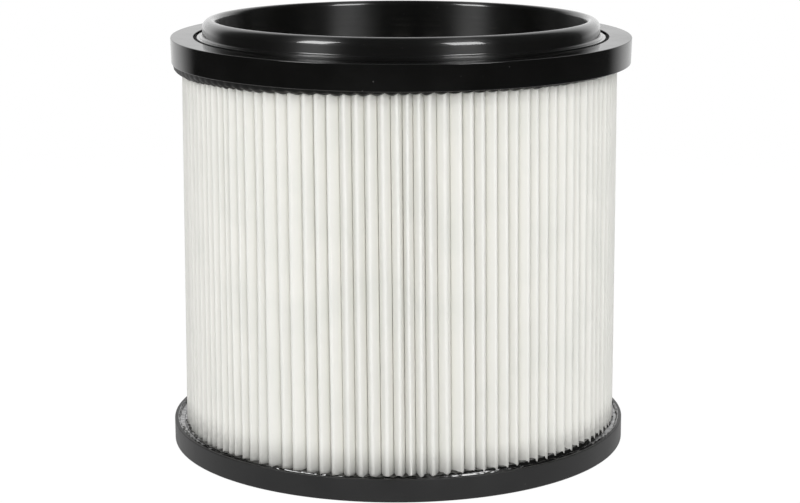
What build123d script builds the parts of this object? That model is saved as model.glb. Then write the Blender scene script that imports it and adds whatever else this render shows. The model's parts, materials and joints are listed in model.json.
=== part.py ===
from build123d import *
from math import asin, cos, degrees, exp, pi, radians, sin
import os

# Pleated cartridge filter: a folded fleece pack between an open moulded collar and a closed end cap.
# Millimetres. The axis is Z, and Z = 0 is the underside of the bottom cap.

# Collar: the upright sleeve with a rounded lip that the machine's seat fits into
bore_radius = 75.2
collar_wall = 5.45
collar_rise = 6.9  # lip above the flange's top face
lip_rounding = 3.4  # outer edge of the lip, turned in short flats
lip_flats = 3
lip_inner_rounding = 2.0
lip_inner_flats = 2
foot_width = 2.25  # foot plate beyond the sleeve wall
foot_thickness = 3.0
skirt_wall = 1.0  # thin skirt that goes down inside the core
skirt_depth = 15.0  # below the foot plate

# Flange ring: the outer channel that frames the collar's foot
flange_overhang = 4.6  # beyond the tips of the pleats
flange_height = 10.4
flange_wall = 2.0
flange_draft = 0.3  # the side leans in by this much towards its lower edge
groove_width = 1.4  # open gap between the collar's foot and the flange ring

# Bottom cap: a shallow dish, which the casting compound fills
cap_overhang = 4.9  # beyond the tips of the pleats
cap_height = 9.3
cap_wall = 1.6
cap_floor = 2.0
cap_edge = 0.8

# Casting compound
rim_above_compound = 1.0  # both rims stand past the compound's face by this much

# Pleated fleece
pleat_height = 150.3  # between the two faces of compound
pleat_depth = 11.2  # from the inner folds to the tips
pleats = 115
fleece = 0.6
tip_share = 0.32  # a tip's rounding radius over its own pitch
tip_flats = 3  # the rounding is turned in short flats
crowding = 3.0  # degrees that the folds are pushed round where they crowd together
crowded_at = -128.0  # degrees round the axis from +X
crowded_width = 14.0

# Inner core: a moulded lattice tube that keeps the pleats from collapsing
core_wall = 1.2
skirt_clearance = 0.2  # collar's skirt to core
pleat_clearance = 0.1  # core to the inner folds
window_columns = 12
window_rows = 2
rib_width = 18.0
ring_height = 9.0

# Levels and radii that follow
skirt_radius = bore_radius + skirt_wall
core_bore = skirt_radius + skirt_clearance
core_radius = core_bore + core_wall
inner_fold_radius = core_radius + pleat_clearance
pleat_radius = inner_fold_radius + pleat_depth
sleeve_radius = bore_radius + collar_wall
foot_radius = sleeve_radius + foot_width
flange_bore = foot_radius + groove_width
flange_radius = pleat_radius + flange_overhang
cap_radius = pleat_radius + cap_overhang
top_potting_radius = flange_radius - flange_wall
bottom_potting_radius = cap_radius - cap_wall

pack_bottom = cap_height - rim_above_compound
pack_top = pack_bottom + pleat_height
flange_bottom = pack_top - rim_above_compound
flange_top = flange_bottom + flange_height
foot_bottom = flange_top - foot_thickness
lip_top = flange_top + collar_rise


def polar(radius, degrees):
    return Vector(radius * cos(radians(degrees)), radius * sin(radians(degrees)))


def rounding(centre, radius, start, turn, flats):
    """Corners of the short flats that turn a rounding. Each flat touches the round form."""
    step = turn / (flats + 1)
    corner = radius / cos(radians(step / 2))
    return [centre + start.rotate(Axis.Z, step * (i + 0.5)) * corner for i in range(flats + 1)]


def fold_angle(fold):
    """Angle of an outer fold. The folds are evenly spaced, apart from one stretch where they crowd."""
    even = 360 * fold / pleats
    away = (even - crowded_at + 180) % 360 - 180
    return even - crowding * exp(-((away / crowded_width) ** 2))


def fold_section(fold):
    """One pleat, as a run of points along the fleece's outer face and a run along its inner face."""
    before, tip, after = (fold_angle(fold + step) for step in (-1, 0, 1))
    tip_radius = tip_share * radians(after - before) / 2 * pleat_radius
    centre = polar(pleat_radius - tip_radius, tip)
    creases, sides, heels = [], [], []
    for side, valley in ((-1, (before + tip) / 2), (1, (tip + after) / 2)):
        crease = polar(inner_fold_radius + fleece, valley)
        reach = centre - crease
        lean = side * degrees(asin(tip_radius / reach.length))
        along = reach.rotate(Axis.Z, lean).normalized()
        outward = along.rotate(Axis.Z, side * 90)
        creases.append(crease)
        sides.append(outward)
        heels.append(crease - (outward + along) * fleece)
    turn = sides[0].get_angle(sides[1])
    outer_tip, inner_tip = (
        rounding(centre, radius, sides[0], turn, tip_flats) for radius in (tip_radius, tip_radius - fleece)
    )
    return [creases[0], *outer_tip], [heels[0], *inner_tip, heels[1]]


sections = [fold_section(fold) for fold in range(pleats)]

with BuildPart() as pleated_media:
    with BuildSketch(Plane.XY.offset(pack_bottom)):
        with BuildLine():
            Polyline([point for outer_face, _ in sections for point in outer_face], close=True)
        make_face()
        with BuildLine():
            Polyline([point for _, inner_face in sections for point in inner_face], close=True)
        make_face(mode=Mode.SUBTRACT)
    extrude(amount=pleat_height)

with BuildPart() as inner_core:
    with BuildSketch(Plane.XY.offset(pack_bottom)):
        Circle(core_radius)
        Circle(core_bore, mode=Mode.SUBTRACT)
    extrude(amount=pleat_height)
    window_width = 2 * pi * core_radius / window_columns - rib_width
    window_height = (pleat_height - (window_rows + 1) * ring_height) / window_rows
    for row in range(window_rows):
        level = pack_bottom + ring_height + window_height / 2 + row * (window_height + ring_height)
        with Locations((0, 0, level)):
            with PolarLocations(core_radius, window_columns):
                Box(window_width, window_width, window_height, mode=Mode.SUBTRACT)

lip_centre = Vector(sleeve_radius - lip_rounding, lip_top - lip_rounding)
lip_inner_centre = Vector(bore_radius + lip_inner_rounding, lip_top - lip_inner_rounding)

with BuildPart() as top_collar:
    with BuildSketch(Plane.XZ):
        with BuildLine():
            Polyline(
                *rounding(lip_centre, lip_rounding, Vector(1, 0), 90, lip_flats),
                *rounding(lip_inner_centre, lip_inner_rounding, Vector(0, 1), 90, lip_inner_flats),
                (bore_radius, foot_bottom - skirt_depth),
                (skirt_radius, foot_bottom - skirt_depth),
                (skirt_radius, foot_bottom),
                (foot_radius, foot_bottom),
                (foot_radius, flange_top),
                (sleeve_radius, flange_top),
                close=True,
            )
        make_face()
    revolve(axis=Axis.Z)

with BuildPart() as flange_ring:
    with BuildSketch(Plane.XZ):
        with BuildLine():
            Polyline(
                (flange_radius - flange_draft, flange_bottom),
                (flange_radius, flange_top),
                (flange_bore, flange_top),
                (flange_bore, foot_bottom),
                (top_potting_radius, foot_bottom),
                (top_potting_radius, flange_bottom),
                close=True,
            )
        make_face()
    revolve(axis=Axis.Z)

with BuildPart() as top_potting:
    with BuildSketch(Plane.XY.offset(pack_top)):
        Circle(top_potting_radius)
        Circle(skirt_radius, mode=Mode.SUBTRACT)
    extrude(amount=foot_bottom - pack_top)

with BuildPart() as bottom_potting:
    with BuildSketch(Plane.XY.offset(cap_floor)):
        Circle(bottom_potting_radius)
    extrude(amount=pack_bottom - cap_floor)

with BuildPart() as bottom_cap:
    with BuildSketch():
        Circle(cap_radius)
    extrude(amount=cap_height)
    chamfer(edges().group_by(Axis.Z)[0], cap_edge)
    with BuildSketch(Plane.XY.offset(cap_floor)):
        Circle(bottom_potting_radius)
    extrude(amount=cap_height - cap_floor, mode=Mode.SUBTRACT)

os.makedirs("parts", exist_ok=True)
for name, piece in (
    ("top_collar", top_collar),
    ("flange_ring", flange_ring),
    ("top_potting", top_potting),
    ("pleated_media", pleated_media),
    ("inner_core", inner_core),
    ("bottom_potting", bottom_potting),
    ("bottom_cap", bottom_cap),
):
    piece.part.label = name
    export_step(piece.part, f"parts/{name}.step")
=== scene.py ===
import json
import random
from math import atan2, cos, exp, hypot, pi, radians, sin

import bmesh
import bpy
from bpy.props import FloatProperty, FloatVectorProperty, IntProperty, PointerProperty
from mathutils import Matrix, Vector, noise


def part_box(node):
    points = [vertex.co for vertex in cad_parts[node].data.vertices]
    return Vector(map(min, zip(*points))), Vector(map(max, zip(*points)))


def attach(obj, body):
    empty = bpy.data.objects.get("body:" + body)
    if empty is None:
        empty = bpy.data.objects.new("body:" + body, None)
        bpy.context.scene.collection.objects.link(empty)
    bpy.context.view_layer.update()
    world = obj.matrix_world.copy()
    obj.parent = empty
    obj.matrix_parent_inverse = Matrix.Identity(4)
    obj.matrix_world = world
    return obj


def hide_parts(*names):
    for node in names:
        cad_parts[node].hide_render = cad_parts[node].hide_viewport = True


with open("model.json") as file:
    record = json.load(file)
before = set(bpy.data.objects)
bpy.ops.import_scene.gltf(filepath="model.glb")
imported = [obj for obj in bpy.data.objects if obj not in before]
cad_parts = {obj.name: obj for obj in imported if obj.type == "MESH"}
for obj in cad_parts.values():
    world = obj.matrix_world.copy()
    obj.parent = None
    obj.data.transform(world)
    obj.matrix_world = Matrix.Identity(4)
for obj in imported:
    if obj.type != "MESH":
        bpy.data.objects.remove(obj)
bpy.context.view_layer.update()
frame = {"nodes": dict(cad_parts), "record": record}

bl_info = {
    "name": "Pleated Cartridge Filter",
    "version": (1, 0, 0),
    "blender": (4, 5, 0),
    "location": "View3D > Sidebar > Filter",
    "description": "Builds the finished looks of a pleated cartridge filter around its CAD frame",
    "category": "Object",
}

MM = 0.001
MERGE = 0.001 * MM  # vertices closer than this are one
TOUCH = 0.1 * MM  # levels closer than this are one level
CORE_CLEARANCE = 0.1 * MM
BORE_RING_DEPTHS = (5.9, 8.5, 11.2, 16.0)  # fine moulding rings, in millimetres below the lip's top
FOLD_REACH = 3.2 * MM  # how far in between the folds the upper compound hangs down
STEPS_A_FOLD = 8  # of the ring that hangs against the folds
CLIMB_AT = -0.6  # front right, where the lower compound has climbed furthest
SETTLING = 11  # seed of the settled folds
HALF_WAVES = 1.3  # up the height of a fold


def reach(node):
    """Largest radius of a round CAD node about the filter's axis."""
    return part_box(node)[1].x


def levels(node):
    """Lowest and highest level of a CAD node."""
    low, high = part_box(node)
    return low.z, high.z


BORE_RADIUS = next(m for m in frame["record"]["mounts"] if m["name"] == "collar_bore")["dims"]["r_mm"] * MM
FLANGE_BOTTOM, FLANGE_TOP = levels("flange_ring")
COLLAR_BOTTOM, COLLAR_TOP = levels("top_collar")
CAP_BOTTOM, CAP_TOP = levels("bottom_cap")
PACK_BOTTOM, PACK_TOP = levels("pleated_media")
COMPOUND_FLOOR, COMPOUND_LEVEL = levels("bottom_potting")
SEAT_LEVEL = levels("top_potting")[1]
PLEAT_RADIUS = reach("pleated_media")
CORE_RADIUS = reach("inner_core")


def length(name, description, millimetres):
    """A size that a user can change, given in millimetres and kept in metres."""
    return FloatProperty(name=name, description=description, default=millimetres * MM,
                         unit="LENGTH", precision=5)


def turn(name, description, angle):
    return FloatProperty(name=name, description=description, default=radians(angle), unit="ROTATION")


def share(name, description, default):
    return FloatProperty(name=name, description=description, default=default, min=0, max=1, subtype="FACTOR")


def paint(name, description, colour):
    return FloatVectorProperty(name=name, description=description, default=colour,
                               subtype="COLOR", min=0, max=1)


class CollarSettings(bpy.types.PropertyGroup):
    wall: length("Wall", "Thickness of the upright sleeve", 5.45)
    lip_outer: length("Lip Outer Rounding", "Radius of the lip's outer edge", 3.5)
    lip_inner: length("Lip Inner Rounding", "Radius of the lip's inner edge", 1.95)
    foot_fillet: length("Foot Fillet", "Hollow corner where the sleeve meets the foot plate", 0.7)
    foot_step: length("Foot Step", "Height of the fine step round the foot plate", 0.25)
    skirt_wall: length("Skirt Wall", "Thickness of the skirt inside the core", 1.0)
    ring_depth: length("Bore Ring Depth", "Depth of the fine moulding rings in the bore", 0.07)
    seat_tilt: turn("Seat Tilt", "How far the collar was cast out of level, front edge up", 0.77)


class FlangeSettings(bpy.types.PropertyGroup):
    wall: length("Wall", "Thickness of the flange's side", 2.0)
    draft: length("Draft", "How far the side leans in at its lower edge", 0.3)
    edge: length("Edge", "Radius of the flange's edges", 0.35)
    groove: length("Groove", "Gap between the flange and the collar's foot", 1.4)
    seat_shift: length("Seat Shift", "How far flange and collar were cast off centre, towards +X", 0.65)


class CapSettings(bpy.types.PropertyGroup):
    wall: length("Wall", "Thickness of the cap's rim", 1.6)
    edge: length("Edge", "Radius of the rim's upper edges", 0.35)
    foot: length("Foot", "Radius of the cap's lower edge", 0.8)
    seat_shift: length("Seat Shift", "How far the cap was cast off centre, towards +X", -0.6)
    seat_tilt: turn("Seat Tilt", "How far the cap was cast out of level, -X side down", 0.2)


class CompoundSettings(bpy.types.PropertyGroup):
    hang: length("Hang", "How far the compound hangs down against the folds", 1.8)
    sag: length("Sag", "How much further it has run down on the left", 2.5)
    scallop: length("Scallop", "How much the hanging edge follows the folds", 0.35)
    unevenness: length("Unevenness", "Random rise and fall of the cast surfaces", 0.35)
    meniscus: length("Meniscus", "How far the compound climbs towards the cap's rim", 1.0)
    roll: length("Roll", "Height of the narrow bead of compound left on the rim's inner edge", 0.9)
    creep: length("Creep", "How far the compound climbs at the folds", 0.7)
    climb: length("Climb", "How much further the compound has climbed the folds at the front right", 2.0)
    sink: length("Sink", "How far the compound has sunk between the folds and the cap's rim", 0.6)
    key: length("Key", "How far the compound reaches into the rings that hold it", 0.8)


class PleatSettings(bpy.types.PropertyGroup):
    count: IntProperty(name="Folds", description="Outer folds round the pack", default=115, min=12,
                       subtype="UNSIGNED")
    fleece: length("Fleece", "Thickness of the fleece", 0.6)
    tip_width: length("Tip Width", "Width over a rounded tip", 1.1)
    belly_depth: length("Belly Depth", "How far in the swollen folds touch", 3.6)
    belly_gap: length("Belly Gap", "Gap between two folds where they all but touch", 0.02)
    valley_width: length("Valley Width", "Width of the bottom of a valley", 0.8)
    rows: IntProperty(name="Rows", description="Divisions up each fold", default=12, min=2,
                      subtype="UNSIGNED")
    crowding: turn("Crowding", "How far the folds are pushed round where they crowd", 3.0)
    crowded_at: turn("Crowded At", "Where the folds crowd, round the axis from +X", -128)
    crowded_width: turn("Crowded Width", "Width of the crowded stretch", 14)
    seam_at: turn("Seam At", "Where the sheet's two ends are joined", -87)
    seam_crowding: turn("Seam Crowding", "How far the folds are drawn together at the seam", 1.1)
    seam_width: turn("Seam Width", "Width of the seam's narrow folds", 7)
    lean: turn("Lean", "Random lean of each tip round the axis", 0.22)
    depth_play: length("Depth Play", "Random difference in the depth of the folds", 0.25)
    wave: turn("Wave", "Sideways wave of a fold over its height", 0.10)
    twist: turn("Twist", "Turn of the pack from its top to its bottom", 1.0)
    embed: length("Embed", "How far the folds stand in the compound at the bottom", 1.2)
    flare: length("Flare", "How much further out the folds stand at the bottom than at the top", 1.0)


class FinishSettings(bpy.types.PropertyGroup):
    gloss_black: paint("Gloss Black", "Collar", (0.0040, 0.0040, 0.0038))
    satin_black: paint("Satin Black", "Flange ring", (0.0040, 0.0040, 0.0038))
    cap_grey: paint("Cap Grey", "Bottom cap", (0.012, 0.012, 0.0122))
    compound_black: paint("Compound Black", "Casting compound", (0.003, 0.003, 0.0026))
    fleece_white: paint("Fleece White", "Folded fleece", (0.825, 0.82, 0.782))
    # Painted shade: colour of the fleece deep in the folds, greyer and warmer than at the tips
    valley_shade: paint("Valley Shade", "Fleece deep in the folds", (0.75, 0.742, 0.672))


class StageSettings(bpy.types.PropertyGroup):
    camera_distance: length("Camera Distance", "From the filter's axis, along -Y", 877)
    camera_height: length("Camera Height", "Above the floor", 271.3)
    camera_side: length("Camera Side", "Along +X", 0.18)
    camera_pitch: turn("Camera Pitch", "Downwards", 12.46)
    lens: FloatProperty(name="Lens", description="Focal length for a 36 mm sensor",
                        default=97.2, unit="CAMERA")
    box_light: FloatProperty(name="Softbox Power", description="Of each softbox", default=9.0, unit="POWER")
    fill_light: FloatProperty(name="Fill Power", description="Of the low fill light in front",
                              default=13.0, unit="POWER")
    fill_world: FloatProperty(name="World Fill", description="Even light from all round, against plain white",
                              default=1.0, min=0, subtype="FACTOR", soft_max=2)
    floor_white: share("Floor White", "Paleness of the floor", 0.12)


# ---------------------------------------------------------------- materials


def make_group(name, inputs, outputs):
    """A shader node group with named sockets, and its input and output nodes."""
    group = bpy.data.node_groups.new(name, "ShaderNodeTree")
    for label, kind, default in inputs:
        socket = group.interface.new_socket(label, in_out="INPUT", socket_type=kind)
        socket.default_value = default
    for label, kind in outputs:
        group.interface.new_socket(label, in_out="OUTPUT", socket_type=kind)
    return group, group.nodes.new("NodeGroupInput"), group.nodes.new("NodeGroupOutput")


def add(tree, kind, values=None, **settings):
    """A node with its settings and the values of its unlinked inputs."""
    node = tree.nodes.new(kind)
    for key, value in settings.items():
        setattr(node, key, value)
    for key, value in (values or {}).items():
        node.inputs[key].default_value = value
    return node


def connect(tree, *pairs):
    for source, target in pairs:
        tree.links.new(source, target)


def math(tree, operation, first, second):
    """A math node over sockets or plain numbers, and its result."""
    node = add(tree, "ShaderNodeMath", operation=operation)
    for index, value in enumerate((first, second)):
        if isinstance(value, (int, float)):
            node.inputs[index].default_value = value
        else:
            tree.links.new(value, node.inputs[index])
    return node.outputs[0]


def spread(tree, value, low, high, start=0.0, end=1.0):
    """The value mapped from low..high to start..end, held at the ends."""
    node = add(tree, "ShaderNodeMapRange",
               {"From Min": low, "From Max": high, "To Min": start, "To Max": end})
    tree.links.new(value, node.inputs["Value"])
    return node.outputs["Result"]


def moulded_group():
    """Moulded plastic: soft mottling, faint turning marks round the axis and a few specks of dust."""
    group, given, made = make_group(
        "Moulded Surface",
        (("Color", "NodeSocketColor", (0, 0, 0, 1)), ("Roughness", "NodeSocketFloat", 0.3),
         ("Marks", "NodeSocketFloat", 0.1), ("Dust", "NodeSocketFloat", 0.1)),
        (("Color", "NodeSocketColor"), ("Roughness", "NodeSocketFloat"), ("Height", "NodeSocketFloat")),
    )
    place = add(group, "ShaderNodeTexCoord").outputs["Object"]
    mottle = add(group, "ShaderNodeTexNoise", {"Scale": 60.0, "Detail": 4.0})
    grain = add(group, "ShaderNodeTexNoise", {"Scale": 1400.0, "Detail": 2.0})
    flat = add(group, "ShaderNodeMapping")
    flat.inputs["Scale"].default_value = (6.0, 6.0, 1500.0)
    marks = add(group, "ShaderNodeTexNoise", {"Scale": 1.0, "Detail": 3.0})
    specks = add(group, "ShaderNodeTexVoronoi", {"Scale": 260.0, "Randomness": 1.0})
    patches = add(group, "ShaderNodeTexNoise", {"Scale": 25.0, "Detail": 1.0})
    connect(group, (place, mottle.inputs["Vector"]), (place, grain.inputs["Vector"]),
            (place, flat.inputs["Vector"]), (flat.outputs["Vector"], marks.inputs["Vector"]),
            (place, specks.inputs["Vector"]), (place, patches.inputs["Vector"]))
    speck = spread(group, specks.outputs["Distance"], 0.05, 0.09, 1.0, 0.0)
    dusty = spread(group, patches.outputs["Fac"], 0.56, 0.66)
    dust = math(group, "MULTIPLY", math(group, "MULTIPLY", speck, dusty), given.outputs["Dust"])
    tint = add(group, "ShaderNodeMix", {"B": (0.25, 0.25, 0.24, 1)}, data_type="RGBA")
    shade = add(group, "ShaderNodeMix", data_type="RGBA", blend_type="MULTIPLY")
    connect(group, (dust, tint.inputs["Factor"]), (given.outputs["Color"], tint.inputs["A"]),
            (tint.outputs["Result"], shade.inputs["A"]))
    level = spread(group, mottle.outputs["Fac"], 0.3, 0.7, 0.75, 1.2)
    grey = add(group, "ShaderNodeCombineColor")
    for channel in ("Red", "Green", "Blue"):
        group.links.new(level, grey.inputs[channel])
    shade.inputs["Factor"].default_value = 1.0
    connect(group, (grey.outputs["Color"], shade.inputs["B"]),
            (shade.outputs["Result"], made.inputs["Color"]))
    play = spread(group, mottle.outputs["Fac"], 0.3, 0.7, -0.04, 0.05)
    rough = math(group, "ADD", math(group, "ADD", given.outputs["Roughness"], play), dust)
    marked = math(group, "MULTIPLY", marks.outputs["Fac"], given.outputs["Marks"])
    height = math(group, "ADD", marked, math(group, "MULTIPLY", grain.outputs["Fac"], 0.12))
    connect(group, (rough, made.inputs["Roughness"]), (height, made.inputs["Height"]))
    return group


def plastic(name, colour, roughness, marks, dust, bump, specular, coat=0.0, coat_roughness=0.05, stretch=0.0):
    """A moulded plastic or cast compound, made with the moulded surface group."""
    material = bpy.data.materials.new(name)
    material.use_nodes = True
    tree = material.node_tree
    shader = tree.nodes["Principled BSDF"]
    group = bpy.data.node_groups.get("Moulded Surface") or moulded_group()
    surface = add(tree, "ShaderNodeGroup", node_tree=group)
    surface.inputs["Color"].default_value = (*colour, 1)
    surface.inputs["Roughness"].default_value = roughness
    surface.inputs["Marks"].default_value = marks
    surface.inputs["Dust"].default_value = dust
    relief = add(tree, "ShaderNodeBump", {"Strength": bump, "Distance": 0.0002})
    connect(tree, (surface.outputs["Color"], shader.inputs["Base Color"]),
            (surface.outputs["Roughness"], shader.inputs["Roughness"]),
            (surface.outputs["Height"], relief.inputs["Height"]),
            (relief.outputs["Normal"], shader.inputs["Normal"]))
    shader.inputs["Specular IOR Level"].default_value = specular
    shader.inputs["Coat Weight"].default_value = coat
    shader.inputs["Coat Roughness"].default_value = coat_roughness
    shader.inputs["Anisotropic"].default_value = stretch
    shader.inputs["Anisotropic Rotation"].default_value = 0.25
    if stretch:
        round_axis = add(tree, "ShaderNodeTangent", direction_type="RADIAL", axis="Z")
        tree.links.new(round_axis.outputs[0], shader.inputs["Tangent"])
    return material


def fleece_material(finish):
    """White fleece: fine fibres, a little mottling, painted shade deep in the folds that makes them greyer
    and warmer, and greyer speckles near the bottom at both sides.
    """
    material = bpy.data.materials.new("folded_fleece")
    material.use_nodes = True
    tree = material.node_tree
    shader = tree.nodes["Principled BSDF"]
    place = add(tree, "ShaderNodeTexCoord").outputs["Object"]
    split = add(tree, "ShaderNodeSeparateXYZ")
    fibres = add(tree, "ShaderNodeTexNoise", {"Scale": 2600.0, "Detail": 3.0, "Roughness": 0.6})
    clumps = add(tree, "ShaderNodeTexNoise", {"Scale": 420.0, "Detail": 4.0})
    mottle = add(tree, "ShaderNodeTexNoise", {"Scale": 45.0, "Detail": 3.0})
    connect(tree, (place, split.inputs[0]), (place, fibres.inputs["Vector"]),
            (place, clumps.inputs["Vector"]), (place, mottle.inputs["Vector"]))
    x, y, z = split.outputs
    squares = math(tree, "ADD", math(tree, "MULTIPLY", x, x), math(tree, "MULTIPLY", y, y))
    radius = math(tree, "SQRT", squares, 0)
    # Painted shade deep in the folds: the fleece goes over to the valley shade colour towards the core
    deep = spread(tree, radius, CORE_RADIUS, PLEAT_RADIUS - 1 * MM, 1.0, 0.0)
    shaded_by_depth = add(tree, "ShaderNodeMix", {"A": (*finish.fleece_white, 1), "B": (*finish.valley_shade, 1)},
                   data_type="RGBA")
    # Greyer in speckles near the bottom of the pack, towards its left and right sides
    near_cap = spread(tree, z, PACK_BOTTOM, PACK_BOTTOM + 12 * MM, 1.0, 0.0)
    aside = spread(tree, math(tree, "ABSOLUTE", x, 0), 30 * MM, 75 * MM)
    low_side_grey = math(tree, "MULTIPLY", math(tree, "MULTIPLY", near_cap, aside),
                 spread(tree, clumps.outputs["Fac"], 0.42, 0.62))
    low_side_greyed = add(tree, "ShaderNodeMix", {"B": (0.55, 0.55, 0.52, 1)}, data_type="RGBA")
    uneven = add(tree, "ShaderNodeMix", {"B": (0.72, 0.73, 0.69, 1)}, data_type="RGBA")
    connect(tree, (deep, shaded_by_depth.inputs["Factor"]),
            (math(tree, "MULTIPLY", low_side_grey, 0.5), low_side_greyed.inputs["Factor"]),
            (shaded_by_depth.outputs["Result"], low_side_greyed.inputs["A"]),
            (spread(tree, mottle.outputs["Fac"], 0.45, 0.75, 0.0, 0.4), uneven.inputs["Factor"]),
            (low_side_greyed.outputs["Result"], uneven.inputs["A"]),
            (uneven.outputs["Result"], shader.inputs["Base Color"]))
    height = math(tree, "ADD", fibres.outputs["Fac"], math(tree, "MULTIPLY", clumps.outputs["Fac"], 0.8))
    relief = add(tree, "ShaderNodeBump", {"Strength": 0.25, "Distance": 0.0002})
    connect(tree, (height, relief.inputs["Height"]), (relief.outputs["Normal"], shader.inputs["Normal"]))
    shader.inputs["Roughness"].default_value = 0.85
    shader.inputs["Specular IOR Level"].default_value = 0.25
    shader.inputs["Sheen Weight"].default_value = 0.15
    return material


# ---------------------------------------------------------------- shapes


def need(held, message):
    """Stop with a message where settings don't give a shape."""
    if not held:
        raise ValueError(message)


def finish_piece(bm, name, material, slot, *nodes, sharp=35):
    """Turn the bmesh into a smooth piece that rides on the filter and stands for its CAD nodes."""
    bmesh.ops.remove_doubles(bm, verts=bm.verts, dist=MERGE)
    bmesh.ops.recalc_face_normals(bm, faces=bm.faces)
    for face in bm.faces:
        face.smooth = True
    for edge in bm.edges:
        edge.smooth = len(edge.link_faces) < 2 or edge.calc_face_angle(0) < radians(sharp)
    mesh = bpy.data.meshes.new(name)
    bm.to_mesh(mesh)
    bm.free()
    mesh.materials.append(material)
    piece = bpy.data.objects.new(name, mesh)
    bpy.context.scene.collection.objects.link(piece)
    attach(piece, "root")
    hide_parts(*nodes)
    return piece


def even_shading(piece):
    """Keep broad flats flat beside their small roundings."""
    modifier = piece.modifiers.new("Even Shading", "WEIGHTED_NORMAL")
    modifier.keep_sharp = True


def closed_ring(bm, corners, steps=288):
    """A ring turned from a closed outline. Each corner is its radius, its level and its rounding."""
    verts = [bm.verts.new((radius, 0, level)) for radius, level, _ in corners]
    for index, vert in enumerate(verts):
        bm.edges.new((verts[index - 1], vert))
    for vert, (_, _, rounding) in zip(verts, corners):
        if rounding:
            segments = 3 if rounding < 0.5 * MM else 8
            bmesh.ops.bevel(bm, geom=[vert], offset=rounding, offset_type="OFFSET", segments=segments,
                            profile=0.5, affect="VERTICES", material=-1)
    bmesh.ops.spin(bm, geom=bm.verts[:] + bm.edges[:], cent=(0, 0, 0), axis=(0, 0, 1), angle=2 * pi,
                   steps=steps, use_merge=True)


def close_middle(bm, within, *heights):
    """Draw the small inner loops of a turned disc together at the axis."""
    for height in heights:
        hub = [v for v in bm.verts if v.co.xy.length < within and abs(v.co.z - height) < TOUCH]
        bmesh.ops.pointmerge(bm, verts=hub, merge_co=(0, 0, height))


def seat(bm, cap):
    """Set the cap, or what is cast in it, as far off centre and off level as it was cast."""
    bmesh.ops.rotate(bm, verts=bm.verts, cent=(0, 0, CAP_TOP),
                     matrix=Matrix.Rotation(-cap.seat_tilt, 3, "Y"))
    bmesh.ops.translate(bm, verts=bm.verts, vec=(cap.seat_shift, 0, 0))


def widths_away(angle, place, width):
    """How many widths an angle lies round the axis from a place."""
    return ((angle - place + pi) % (2 * pi) - pi) / width


def fold_shift(settings, angle):
    """How far round the axis the folds are pushed at this angle."""
    crowd = widths_away(angle, settings.crowded_at, settings.crowded_width)
    seam = widths_away(angle, settings.seam_at, settings.seam_width)
    return -settings.crowding * exp(-(crowd ** 2)) - settings.seam_crowding * exp(-(seam ** 2)) * seam


def unevenness(vert, fineness, layer):
    """Random height of a cast surface, with so many swells to the metre."""
    return noise.noise(Vector((vert.co.x * fineness, vert.co.y * fineness, layer)))


class FILTER_OT_collar(bpy.types.Operator):
    """Turn the glossy collar with its rounded lip, foot plate and skirt"""
    bl_idname = "filter.collar"
    bl_label = "Collar"

    def execute(self, context):
        size = context.scene.filter_collar
        finish = context.scene.filter_finish
        sleeve = BORE_RADIUS + size.wall
        foot = reach("top_collar")
        need(size.lip_outer + size.lip_inner <= size.wall + MERGE,
             "The lip's two roundings need a thicker wall")
        need(sleeve < foot, "The sleeve has to stand inside the foot plate")
        half_ring = 0.25 * MM
        rings = []
        for depth in BORE_RING_DEPTHS:
            level = COLLAR_TOP - depth * MM
            rings += [(BORE_RADIUS, level + half_ring, 0), (BORE_RADIUS + size.ring_depth, level, 0),
                      (BORE_RADIUS, level - half_ring, 0)]
        broken, crisp = 0.2 * MM, 0.1 * MM
        bm = bmesh.new()
        closed_ring(bm, [
            (sleeve, COLLAR_TOP, size.lip_outer),
            (BORE_RADIUS, COLLAR_TOP, size.lip_inner),
            *rings,
            (BORE_RADIUS, COLLAR_BOTTOM, broken),
            (BORE_RADIUS + size.skirt_wall, COLLAR_BOTTOM, broken),
            (BORE_RADIUS + size.skirt_wall, SEAT_LEVEL, 0),
            (foot, SEAT_LEVEL, 0),
            (foot, FLANGE_TOP - size.foot_step, broken),
            ((foot + sleeve) / 2, FLANGE_TOP - size.foot_step, crisp),
            ((foot + sleeve) / 2, FLANGE_TOP, crisp),
            (sleeve, FLANGE_TOP, size.foot_fillet),
        ])
        bmesh.ops.rotate(bm, verts=bm.verts, cent=(0, 0, (COLLAR_BOTTOM + COLLAR_TOP) / 2),
                         matrix=Matrix.Rotation(-size.seat_tilt, 3, "X"))
        bmesh.ops.translate(bm, verts=bm.verts, vec=(context.scene.filter_flange.seat_shift, 0, 0))
        black = plastic("gloss_black_plastic", finish.gloss_black, roughness=0.42, marks=0.5, dust=0.12,
                        bump=0.12, specular=0.4, coat=0.9, coat_roughness=0.09, stretch=0.95)
        even_shading(finish_piece(bm, "collar_shell", black, "collar", "top_collar"))
        return {"FINISHED"}


class FILTER_OT_flange(bpy.types.Operator):
    """Turn the satin flange ring that frames the collar"""
    bl_idname = "filter.flange"
    bl_label = "Flange Ring"

    def execute(self, context):
        size = context.scene.filter_flange
        finish = context.scene.filter_finish
        outer = reach("flange_ring")
        inner = reach("top_collar") + size.groove
        wall = outer - size.wall
        need(inner < wall, "The flange's side is too thick for its width")
        bm = bmesh.new()
        closed_ring(bm, [
            (outer, FLANGE_TOP, size.edge),
            (inner, FLANGE_TOP, size.edge / 2),
            (inner, SEAT_LEVEL, 0),
            (wall, SEAT_LEVEL, 0),
            (wall, FLANGE_BOTTOM, size.edge / 2),
            (outer - size.draft, FLANGE_BOTTOM, size.edge),
        ])
        bmesh.ops.translate(bm, verts=bm.verts, vec=(size.seat_shift, 0, 0))
        satin = plastic("satin_black_plastic", finish.satin_black, roughness=0.13, marks=0.6, dust=0.12,
                        bump=0.10, specular=0.45)
        even_shading(finish_piece(bm, "flange_body", satin, "flange", "flange_ring"))
        return {"FINISHED"}


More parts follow.
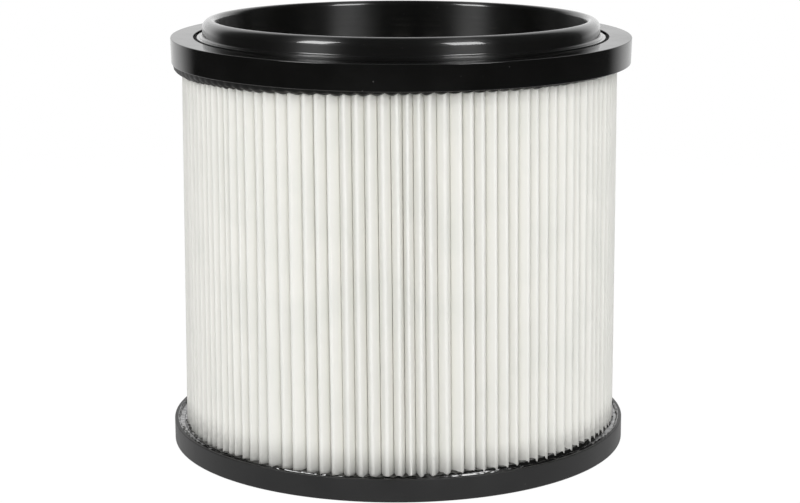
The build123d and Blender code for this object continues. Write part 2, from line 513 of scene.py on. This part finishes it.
class FILTER_OT_cap(bpy.types.Operator):
    """Turn the shallow dish that closes the bottom"""
    bl_idname = "filter.cap"
    bl_label = "Bottom Cap"

    def execute(self, context):
        size = context.scene.filter_cap
        finish = context.scene.filter_finish
        outer = reach("bottom_cap")
        inner = outer - size.wall
        need(size.edge * 2 < size.wall, "The rim's roundings need a thicker wall")
        bm = bmesh.new()
        closed_ring(bm, [
            (outer, CAP_TOP, size.edge),
            (inner, CAP_TOP, size.edge),
            (inner, COMPOUND_FLOOR, 0),
            (outer / 8, COMPOUND_FLOOR, 0),
            (outer / 8, CAP_BOTTOM, 0),
            (outer, CAP_BOTTOM, size.foot),
        ])
        close_middle(bm, outer / 4, COMPOUND_FLOOR, CAP_BOTTOM)
        seat(bm, size)
        grey = plastic("cap_grey_plastic", finish.cap_grey, roughness=0.42, marks=0.4, dust=0.4,
                       bump=0.2, specular=0.4)
        even_shading(finish_piece(bm, "cap_dish", grey, "cap", "bottom_cap"))
        return {"FINISHED"}


class FILTER_OT_compound(bpy.types.Operator):
    """Cast the black compound at both ends, uneven where it has crept up the folds"""
    bl_idname = "filter.compound"
    bl_label = "Casting Compound"

    def execute(self, context):
        size = context.scene.filter_compound
        finish = context.scene.filter_finish
        folds = context.scene.filter_pleats
        need(size.scallop < size.hang, "The hanging edge has to hang further than its scallops")
        matt = plastic("compound_matt", finish.compound_black, roughness=0.4, marks=0.1, dust=0.1,
                       bump=0.5, specular=0.12)
        self.cast_top(size, folds, matt)
        gloss = plastic("compound_gloss", finish.compound_black, roughness=0.22, marks=0.1, dust=0.05,
                        bump=0.4, specular=0.5, coat=1.0)
        self.cast_bottom(size, folds, gloss)
        return {"FINISHED"}

    def cast_top(self, size, folds, material):
        outer = reach("top_potting") + size.key
        inner = BORE_RADIUS + 1 * MM
        under = PACK_TOP
        bm = bmesh.new()
        spans = [PLEAT_RADIUS + (outer - PLEAT_RADIUS) * step / 5 for step in range(5, 0, -1)]
        spans += [PLEAT_RADIUS - 0.6 * MM * step for step in range(6)]
        closed_ring(bm, [(inner, SEAT_LEVEL, 0), (outer, SEAT_LEVEL, 0)]
                    + [(radius, under, 0) for radius in spans] + [(inner, under, 0)],
                    steps=STEPS_A_FOLD * folds.count)
        for vert in bm.verts:
            radius, angle = hypot(vert.co.x, vert.co.y), atan2(vert.co.y, vert.co.x)
            if vert.co.z > under + TOUCH or radius < PLEAT_RADIUS - FOLD_REACH:
                continue
            across = (outer - radius) / (outer - PLEAT_RADIUS)
            if radius >= PLEAT_RADIUS:
                droop = min(max(across, 0), 1) ** 0.35
            else:
                droop = 1 - (PLEAT_RADIUS - radius) / FOLD_REACH
            phase = (angle - fold_shift(folds, angle)) * folds.count
            rough = unevenness(vert, 260, 0.0)
            slow = unevenness(vert, 30, 4.0)
            sag = size.sag * max(-cos(angle), 0)
            cusp = 1 - 2 * abs(sin(phase / 2))
            hang = size.hang + sag - size.scallop * cusp + size.unevenness * (rough + 0.8 * slow)
            vert.co.z -= max(droop, 0) * hang + 0.4 * MM
        finish_piece(bm, "top_compound", material, "potting", "top_potting", sharp=60)

    def cast_bottom(self, size, folds, material):
        rim = reach("bottom_potting")
        outer = rim + size.key
        foot = PLEAT_RADIUS + folds.flare / 2
        meniscus_width, creep_width, climb_width = 0.55 * MM, 0.16 * MM, 0.9 * MM
        roll_width, roll_offset = 0.36 * MM, 0.05 * MM
        bm = bmesh.new()
        spans = [outer] + [rim + 0.1 * MM * step for step in range(7, -6, -1)]
        spans += [foot + (rim - 0.7 * MM - foot) * (step / 10) ** 2 for step in range(10, 0, -1)]
        spans += [foot - 0.8 * MM * step for step in range(14)]
        closed_ring(bm, [(outer, COMPOUND_FLOOR, 0)] + [(radius, COMPOUND_LEVEL, 0) for radius in spans]
                    + [(CORE_RADIUS - 0.1 * MM, COMPOUND_LEVEL, 0), (outer / 8, COMPOUND_LEVEL, 0),
                       (outer / 8, COMPOUND_FLOOR, 0)], steps=720)
        close_middle(bm, outer / 4, COMPOUND_FLOOR, COMPOUND_LEVEL)
        for vert in bm.verts:
            radius, angle = hypot(vert.co.x, vert.co.y), atan2(vert.co.y, vert.co.x)
            if vert.co.z < COMPOUND_LEVEL - TOUCH or radius < CORE_RADIUS:
                continue
            at_rim = exp(-max(rim - radius, 0) / meniscus_width)
            on_rim = exp(-(((radius - rim - roll_offset) / roll_width) ** 2))
            past_folds = max(radius - foot, 0)
            at_front_right = max(cos(angle - CLIMB_AT), 0) ** 2
            rough = unevenness(vert, 420, 9.0)
            slow = unevenness(vert, 60, 2.0)
            rise = size.meniscus * (1 + 0.2 * slow) * at_rim + size.roll * (1 + 0.5 * rough) * on_rim
            rise += size.creep * (1 + 0.7 * slow + 0.8 * rough) * exp(-past_folds / creep_width)
            rise += size.climb * at_front_right * exp(-past_folds / climb_width)
            vert.co.z += rise - size.sink + (0.15 * slow + 0.22 * rough) * MM
        seat(bm, bpy.context.scene.filter_cap)
        finish_piece(bm, "bottom_compound", material, "potting", "bottom_potting", sharp=60)


class FILTER_OT_pleats(bpy.types.Operator):
    """Fold the white fleece into its pack"""
    bl_idname = "filter.pleats"
    bl_label = "Pleated Fleece"

    def execute(self, context):
        size = context.scene.filter_pleats
        pitch = 2 * pi / size.count
        inner = CORE_RADIUS + CORE_CLEARANCE + size.fleece
        half_tip = size.tip_width / 2 / PLEAT_RADIUS
        half_valley = size.valley_width / 2 / inner
        belly = PLEAT_RADIUS - size.belly_depth
        half_belly = pitch / 2 - size.belly_gap / 2 / belly
        need(size.belly_gap > 0.01 * MM, "Two folds need a gap, however small")
        need(half_tip < half_belly and belly > inner, "The folds are too many or too wide for the pack")
        bm = bmesh.new()
        run = [(inner, -pitch / 2 + half_valley), (belly, -half_belly), (PLEAT_RADIUS, -half_tip),
               (PLEAT_RADIUS, half_tip), (belly, half_belly), (inner, pitch / 2 - half_valley),
               (inner, pitch / 2 + half_valley)]
        verts = [bm.verts.new((radius * cos(angle), radius * sin(angle), PACK_BOTTOM - size.embed))
                 for radius, angle in run]
        for first, second in zip(verts, verts[1:]):
            bm.edges.new((first, second))
        bmesh.ops.spin(bm, geom=bm.verts[:] + bm.edges[:], cent=(0, 0, 0), axis=(0, 0, 1),
                       angle=2 * pi - pitch, steps=size.count - 1, use_duplicate=True)
        bmesh.ops.remove_doubles(bm, verts=bm.verts, dist=MERGE)
        near = 0.01 * MM
        tips = [v for v in bm.verts if v.co.xy.length > PLEAT_RADIUS - near]
        bmesh.ops.bevel(bm, geom=tips, offset=0.47 * size.tip_width, offset_type="OFFSET", segments=4,
                        profile=0.5, affect="VERTICES", material=-1)
        bellies = [v for v in bm.verts if abs(v.co.xy.length - belly) < near]
        belly_rounding = 0.6 * MM
        bmesh.ops.bevel(bm, geom=bellies, offset=belly_rounding, offset_type="OFFSET", segments=2,
                        profile=0.5, affect="VERTICES", material=-1)
        edges = bm.edges[:]
        tall = PACK_TOP - PACK_BOTTOM + size.embed
        step = tall / size.rows
        for _ in range(size.rows):
            grown = bmesh.ops.extrude_edge_only(bm, edges=edges)["geom"]
            raised = [g for g in grown if isinstance(g, bmesh.types.BMVert)]
            bmesh.ops.translate(bm, verts=raised, vec=(0, 0, step))
            edges = [g for g in grown if isinstance(g, bmesh.types.BMEdge) and len(g.link_faces) == 1]
        self.unsettle(bm, size, pitch, inner, belly)
        fleece = fleece_material(context.scene.filter_finish)
        piece = finish_piece(bm, "pleat_pack", fleece, "fleece", "pleated_media", sharp=80)
        wall = piece.modifiers.new("Fleece", "SOLIDIFY")
        wall.thickness = size.fleece
        wall.offset = -1
        return {"FINISHED"}

    def unsettle(self, bm, size, pitch, inner, belly):
        """Move the even folds to where the sheet has settled: crowded, leaning, wavy and a little twisted."""
        draw = random.Random(SETTLING)
        plays = [[draw.gauss(0, 1) for _ in range(4)] for _ in range(size.count)]
        for vert in bm.verts:
            radius, angle = vert.co.xy.length, atan2(vert.co.y, vert.co.x)
            up = (vert.co.z - PACK_BOTTOM) / (PACK_TOP - PACK_BOTTOM)
            out = (radius - inner) / (PLEAT_RADIUS - inner)
            free = max(radius - belly, 0) / (PLEAT_RADIUS - belly)
            lean, depth, wave, phase = plays[round(angle / pitch) % size.count]
            angle += fold_shift(size, angle)
            angle += free * (size.lean * lean + size.wave * wave * sin(pi * (HALF_WAVES * up + phase)))
            angle += size.twist * (0.5 - up)
            radius += out * size.flare * (0.5 - up)
            radius -= out * size.depth_play * abs(depth) * (0.6 + 0.4 * sin(pi * (up + phase)))
            vert.co.x = radius * cos(angle)
            vert.co.y = radius * sin(angle)


class FILTER_OT_core(bpy.types.Operator):
    """Finish the moulded support tube inside the folds"""
    bl_idname = "filter.core"
    bl_label = "Inner Core"

    def execute(self, context):
        finish = context.scene.filter_finish
        satin = plastic("core_black_plastic", finish.satin_black, roughness=0.45, marks=0.4, dust=0.4,
                        bump=0.3, specular=0.4)
        core = frame["nodes"]["inner_core"]
        need(core.type == "MESH", "The support tube isn't a mesh")
        core.data.materials.clear()
        core.data.materials.append(satin)
        return {"FINISHED"}


# Of each light: degrees right of the front, degrees up, metres away, then its width and height.
LEFT_BOX = (-52, 34, 1.25, (0.36, 0.60))
RIGHT_BOX = (38, 33, 1.25, (0.40, 0.60))
FRONT_FILL = (0, 9, 1.6, (1.2, 0.8))
LIGHTS_AIM = Vector((0, 0, 0.09))
FLOOR_RADIUS = 0.75
FLOOR_FADE = (0.30, 0.72)
FLOOR_GLOW = 1.17
GLOW_IN_MIRRORS = 0.6
GLOW_IN_VIEW = 0.85
SENSOR_WIDTH = 36


class FILTER_OT_stage(bpy.types.Operator):
    """Set the pale floor, the softboxes, the surroundings and the camera"""
    bl_idname = "filter.stage"
    bl_label = "Stage"

    def execute(self, context):
        size = context.scene.filter_stage
        need(size.camera_distance > PLEAT_RADIUS, "The camera has to stand outside the filter")
        self.lay_floor(size)
        left = self.hang_light("softbox_left", LEFT_BOX, size.box_light)
        right = self.hang_light("softbox_right", RIGHT_BOX, size.box_light)
        left.visible_diffuse = right.visible_diffuse = False
        fill = self.hang_light("fill_front", FRONT_FILL, size.fill_light)
        fill.visible_glossy = False
        self.surround(size)
        data = bpy.data.cameras.new("camera")
        data.sensor_width = SENSOR_WIDTH
        data.lens = size.lens
        camera = bpy.data.objects.new("camera", data)
        camera.location = (size.camera_side, -size.camera_distance, size.camera_height)
        camera.rotation_euler = (pi / 2 - size.camera_pitch, 0, 0)
        context.scene.collection.objects.link(camera)
        context.scene.camera = camera
        context.scene.view_settings.view_transform = "Standard"
        return {"FINISHED"}

    def lay_floor(self, size):
        bm = bmesh.new()
        bmesh.ops.create_circle(bm, cap_ends=True, segments=128, radius=FLOOR_RADIUS)
        mesh = bpy.data.meshes.new("floor")
        bm.to_mesh(mesh)
        bm.free()
        floor = bpy.data.objects.new("floor", mesh)
        bpy.context.scene.collection.objects.link(floor)
        material = bpy.data.materials.new("floor_white")
        material.use_nodes = True
        tree = material.node_tree
        shader = tree.nodes["Principled BSDF"]
        shader.inputs["Base Color"].default_value = (size.floor_white,) * 3 + (1,)
        shader.inputs["Roughness"].default_value = 0.9
        shader.inputs["Specular IOR Level"].default_value = 0.0
        place = add(tree, "ShaderNodeTexCoord").outputs["Object"]
        span = add(tree, "ShaderNodeVectorMath", operation="LENGTH")
        tree.links.new(place, span.inputs[0])
        path = add(tree, "ShaderNodeLightPath")
        glow = add(tree, "ShaderNodeEmission", {"Strength": FLOOR_GLOW})
        seen = add(tree, "ShaderNodeMixShader")
        faded = add(tree, "ShaderNodeMixShader")
        clear = add(tree, "ShaderNodeBsdfTransparent")
        out = tree.nodes["Material Output"]
        mirrored = math(tree, "MULTIPLY", path.outputs["Is Glossy Ray"], GLOW_IN_MIRRORS)
        viewed = math(tree, "MULTIPLY", path.outputs["Is Camera Ray"], GLOW_IN_VIEW)
        connect(tree, (math(tree, "MAXIMUM", mirrored, viewed), seen.inputs[0]),
                (shader.outputs[0], seen.inputs[1]), (glow.outputs[0], seen.inputs[2]),
                (spread(tree, span.outputs["Value"], *FLOOR_FADE), faded.inputs[0]),
                (seen.outputs[0], faded.inputs[1]), (clear.outputs[0], faded.inputs[2]),
                (faded.outputs[0], out.inputs["Surface"]))
        mesh.materials.append(material)

    def hang_light(self, name, place, power):
        """A rectangular light that faces the filter from its place."""
        azimuth, elevation, distance, span = place
        data = bpy.data.lights.new(name, "AREA")
        data.shape = "RECTANGLE"
        data.size, data.size_y = span
        data.energy = power
        light = bpy.data.objects.new(name, data)
        across, up = radians(azimuth), radians(elevation)
        offset = Vector((sin(across) * cos(up), -cos(across) * cos(up), sin(up))) * distance
        light.location = LIGHTS_AIM + offset
        light.rotation_euler = (-offset).to_track_quat("-Z", "Y").to_euler()
        bpy.context.scene.collection.objects.link(light)
        return light

    def surround(self, size):
        """White for the camera all round, bright behind and dark in front for reflections, even for fill."""
        world = bpy.data.worlds.new("studio")
        bpy.context.scene.world = world
        world.use_nodes = True
        tree = world.node_tree
        path = add(tree, "ShaderNodeLightPath")
        place = add(tree, "ShaderNodeTexCoord").outputs["Generated"]
        split = add(tree, "ShaderNodeSeparateXYZ")
        tree.links.new(place, split.inputs[0])
        behind = spread(tree, split.outputs["Y"], 0.55, 0.78, 0.04, 1.0)
        lit = math(tree, "MULTIPLY", path.outputs["Is Glossy Ray"], behind)
        around = spread(tree, split.outputs["Y"], -0.3, 0.5, size.fill_world, 1.25 * size.fill_world)
        above = spread(tree, split.outputs["Z"], -0.08, 0.02, 0.3, 1.0)
        even = math(tree, "MULTIPLY", path.outputs["Is Diffuse Ray"],
                    math(tree, "MULTIPLY", around, above))
        shown = math(tree, "MAXIMUM", path.outputs["Is Camera Ray"], path.outputs["Is Transmission Ray"])
        strength = math(tree, "MAXIMUM", math(tree, "MAXIMUM", lit, even), shown)
        connect(tree, (strength, tree.nodes["Background"].inputs["Strength"]))
        tree.nodes["Background"].inputs["Color"].default_value = (1, 1, 1, 1)


class FILTER_PT_panel(bpy.types.Panel):
    """Sizes, finishes and steps of the filter"""
    bl_idname = "FILTER_PT_panel"
    bl_label = "Pleated Cartridge Filter"
    bl_space_type = "VIEW_3D"
    bl_region_type = "UI"
    bl_category = "Filter"

    def draw(self, context):
        for name, (_, operator) in STEPS.items():
            box = self.layout.box()
            box.operator(operator.bl_idname)
            settings = getattr(context.scene, name)
            for key in settings.__annotations__:
                box.prop(settings, key)


STEPS = {
    "filter_collar": (CollarSettings, FILTER_OT_collar),
    "filter_flange": (FlangeSettings, FILTER_OT_flange),
    "filter_cap": (CapSettings, FILTER_OT_cap),
    "filter_compound": (CompoundSettings, FILTER_OT_compound),
    "filter_pleats": (PleatSettings, FILTER_OT_pleats),
    "filter_finish": (FinishSettings, FILTER_OT_core),
    "filter_stage": (StageSettings, FILTER_OT_stage),
}


def register():
    for name, (settings, operator) in STEPS.items():
        bpy.utils.register_class(settings)
        bpy.utils.register_class(operator)
        setattr(bpy.types.Scene, name, PointerProperty(type=settings))
    bpy.utils.register_class(FILTER_PT_panel)


def unregister():
    bpy.utils.unregister_class(FILTER_PT_panel)
    for name, (settings, operator) in STEPS.items():
        delattr(bpy.types.Scene, name)
        bpy.utils.unregister_class(operator)
        bpy.utils.unregister_class(settings)


def main():
    register()
    bpy.ops.filter.collar()
    bpy.ops.filter.flange()
    bpy.ops.filter.cap()
    bpy.ops.filter.compound()
    bpy.ops.filter.pleats()
    bpy.ops.filter.core()
    bpy.ops.filter.stage()


if __name__ == "__main__":
    main()
